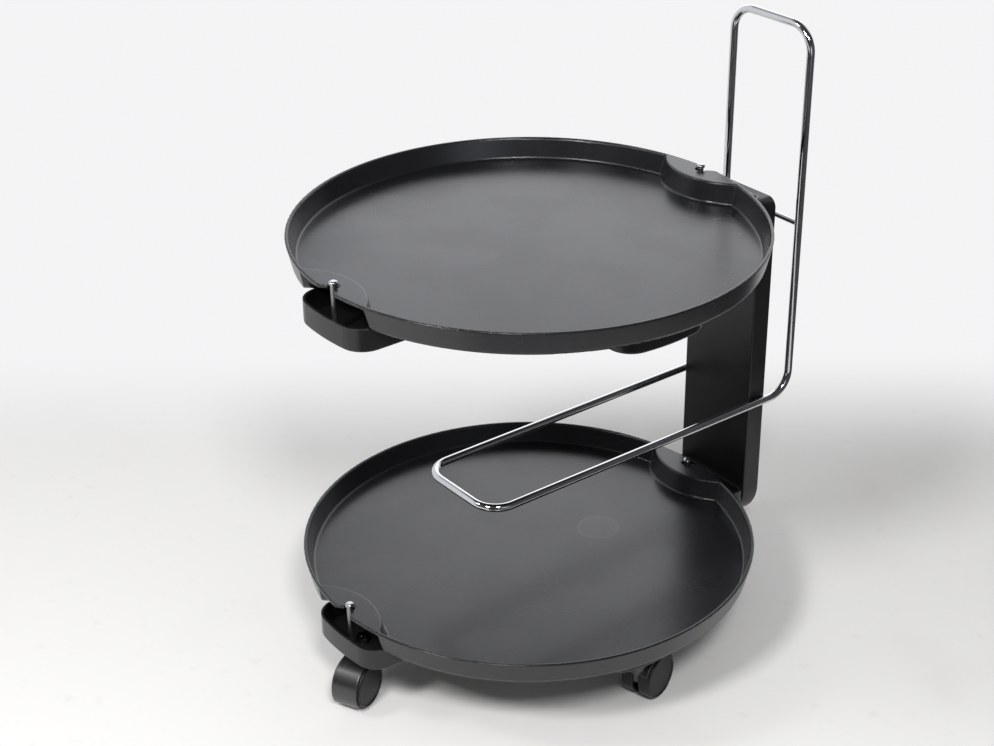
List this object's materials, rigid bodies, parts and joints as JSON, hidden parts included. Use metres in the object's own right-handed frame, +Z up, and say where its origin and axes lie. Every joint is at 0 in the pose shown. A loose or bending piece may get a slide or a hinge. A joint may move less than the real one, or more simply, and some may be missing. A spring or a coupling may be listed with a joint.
{
  "type": "serving cart",
  "caption": "Serving cart: round lift-off trays on cross carriers, a back plate, a chrome rod that is bottle rail and push handle, and swivelling twin-wheel casters",
  "frame": {"origin": "on the floor, under the centre of the cart's box", "axes": "+Z up, +Y from the trays towards the back plate and handle, +X to the right seen from the front"},
  "size_m": [0.4994, 0.6142, 0.6455],
  "materials": {
    "tray_plastic": "satin moulded black",
    "carrier_plastic": "satin moulded black",
    "black_plate": "satin black paint",
    "chrome_rod": "bright chrome plate",
    "steel_fixings": "zinc-plated steel",
    "hood_plastic": "glossy moulded black",
    "wheel_plastic": "satin moulded black"
  },
  "bodies": {
    "cart_frame": {"lower_carrier": "carrier_plastic", "upper_carrier": "carrier_plastic", "back_plate": "black_plate", "bottle_rail": "chrome_rod", "push_handle": "chrome_rod", "handle_crossbar": "chrome_rod", "handle_standoff": "steel_fixings", "standoff_screw": "steel_fixings", "rail_studs": "steel_fixings", "rail_nuts": "steel_fixings", "caster_stem_nuts": "steel_fixings", "lower_front_pin": "chrome_rod", "lower_rear_pin": "chrome_rod", "lower_carrier_screws": "steel_fixings", "lower_carrier_nuts": "steel_fixings", "upper_front_pin": "chrome_rod", "upper_rear_pin": "chrome_rod", "upper_carrier_screws": "steel_fixings", "upper_carrier_nuts": "steel_fixings", "front_caster_stem": "steel_fixings", "right_caster_stem": "steel_fixings", "rear_caster_stem": "steel_fixings", "left_caster_stem": "steel_fixings"},
    "lower_tray_body": {"lower_tray": "tray_plastic"},
    "upper_tray_body": {"upper_tray": "tray_plastic"},
    "front_caster": {"front_caster_body": "hood_plastic", "front_caster_axle": "steel_fixings"},
    "front_caster_right_roller": {"front_caster_right_wheel": "wheel_plastic"},
    "front_caster_left_roller": {"front_caster_left_wheel": "wheel_plastic"},
    "right_caster": {"right_caster_body": "hood_plastic", "right_caster_axle": "steel_fixings"},
    "right_caster_right_roller": {"right_caster_right_wheel": "wheel_plastic"},
    "right_caster_left_roller": {"right_caster_left_wheel": "wheel_plastic"},
    "rear_caster": {"rear_caster_body": "hood_plastic", "rear_caster_axle": "steel_fixings"},
    "rear_caster_right_roller": {"rear_caster_right_wheel": "wheel_plastic"},
    "rear_caster_left_roller": {"rear_caster_left_wheel": "wheel_plastic"},
    "left_caster": {"left_caster_body": "hood_plastic", "left_caster_axle": "steel_fixings"},
    "left_caster_right_roller": {"left_caster_right_wheel": "wheel_plastic"},
    "left_caster_left_roller": {"left_caster_left_wheel": "wheel_plastic"}
  },
  "joints": [
    {"name": "lower_tray_lift", "type": "slide", "parent": "cart_frame", "child": "lower_tray_body", "axis": [0, 0, 1], "range_m": [0, 0.04]},
    {"name": "upper_tray_lift", "type": "slide", "parent": "cart_frame", "child": "upper_tray_body", "axis": [0, 0, 1], "range_m": [0, 0.04]},
    {"name": "front_caster_swivel", "type": "hinge", "parent": "cart_frame", "child": "front_caster", "pos_m": [0, -0.26085, 0.065], "axis": [0, 0, 1], "continuous": true},
    {"name": "front_caster_right_roll", "type": "hinge", "parent": "front_caster", "child": "front_caster_right_roller", "pos_m": [0.00676, -0.27535, 0.025], "axis": [0.9063, 0.4226, 0], "continuous": true},
    {"name": "front_caster_left_roll", "type": "hinge", "parent": "front_caster", "child": "front_caster_left_roller", "pos_m": [0.00676, -0.27535, 0.025], "axis": [0.9063, 0.4226, 0], "continuous": true},
    {"name": "right_caster_swivel", "type": "hinge", "parent": "cart_frame", "child": "right_caster", "pos_m": [0.19, -0.03585, 0.065], "axis": [0, 0, 1], "continuous": true},
    {"name": "right_caster_right_roll", "type": "hinge", "parent": "right_caster", "child": "right_caster_right_roller", "pos_m": [0.18586, -0.0204, 0.025], "axis": [-0.9659, -0.2588, 0], "continuous": true},
    {"name": "right_caster_left_roll", "type": "hinge", "parent": "right_caster", "child": "right_caster_left_roller", "pos_m": [0.18586, -0.0204, 0.025], "axis": [-0.9659, -0.2588, 0], "continuous": true},
    {"name": "rear_caster_swivel", "type": "hinge", "parent": "cart_frame", "child": "rear_caster", "pos_m": [0, 0.18915, 0.065], "axis": [0, 0, 1], "continuous": true},
    {"name": "rear_caster_right_roll", "type": "hinge", "parent": "rear_caster", "child": "rear_caster_right_roller", "pos_m": [0.00278, 0.17339, 0.025], "axis": [0.9848, 0.1736, 0], "continuous": true},
    {"name": "rear_caster_left_roll", "type": "hinge", "parent": "rear_caster", "child": "rear_caster_left_roller", "pos_m": [0.00278, 0.17339, 0.025], "axis": [0.9848, 0.1736, 0], "continuous": true},
    {"name": "left_caster_swivel", "type": "hinge", "parent": "cart_frame", "child": "left_caster", "pos_m": [-0.19, -0.03585, 0.065], "axis": [0, 0, 1], "continuous": true},
    {"name": "left_caster_right_roll", "type": "hinge", "parent": "left_caster", "child": "left_caster_right_roller", "pos_m": [-0.19278, -0.02009, 0.025], "axis": [-0.9848, -0.1736, 0], "continuous": true},
    {"name": "left_caster_left_roll", "type": "hinge", "parent": "left_caster", "child": "left_caster_left_roller", "pos_m": [-0.19278, -0.02009, 0.025], "axis": [-0.9848, -0.1736, 0], "continuous": true}
  ]
}
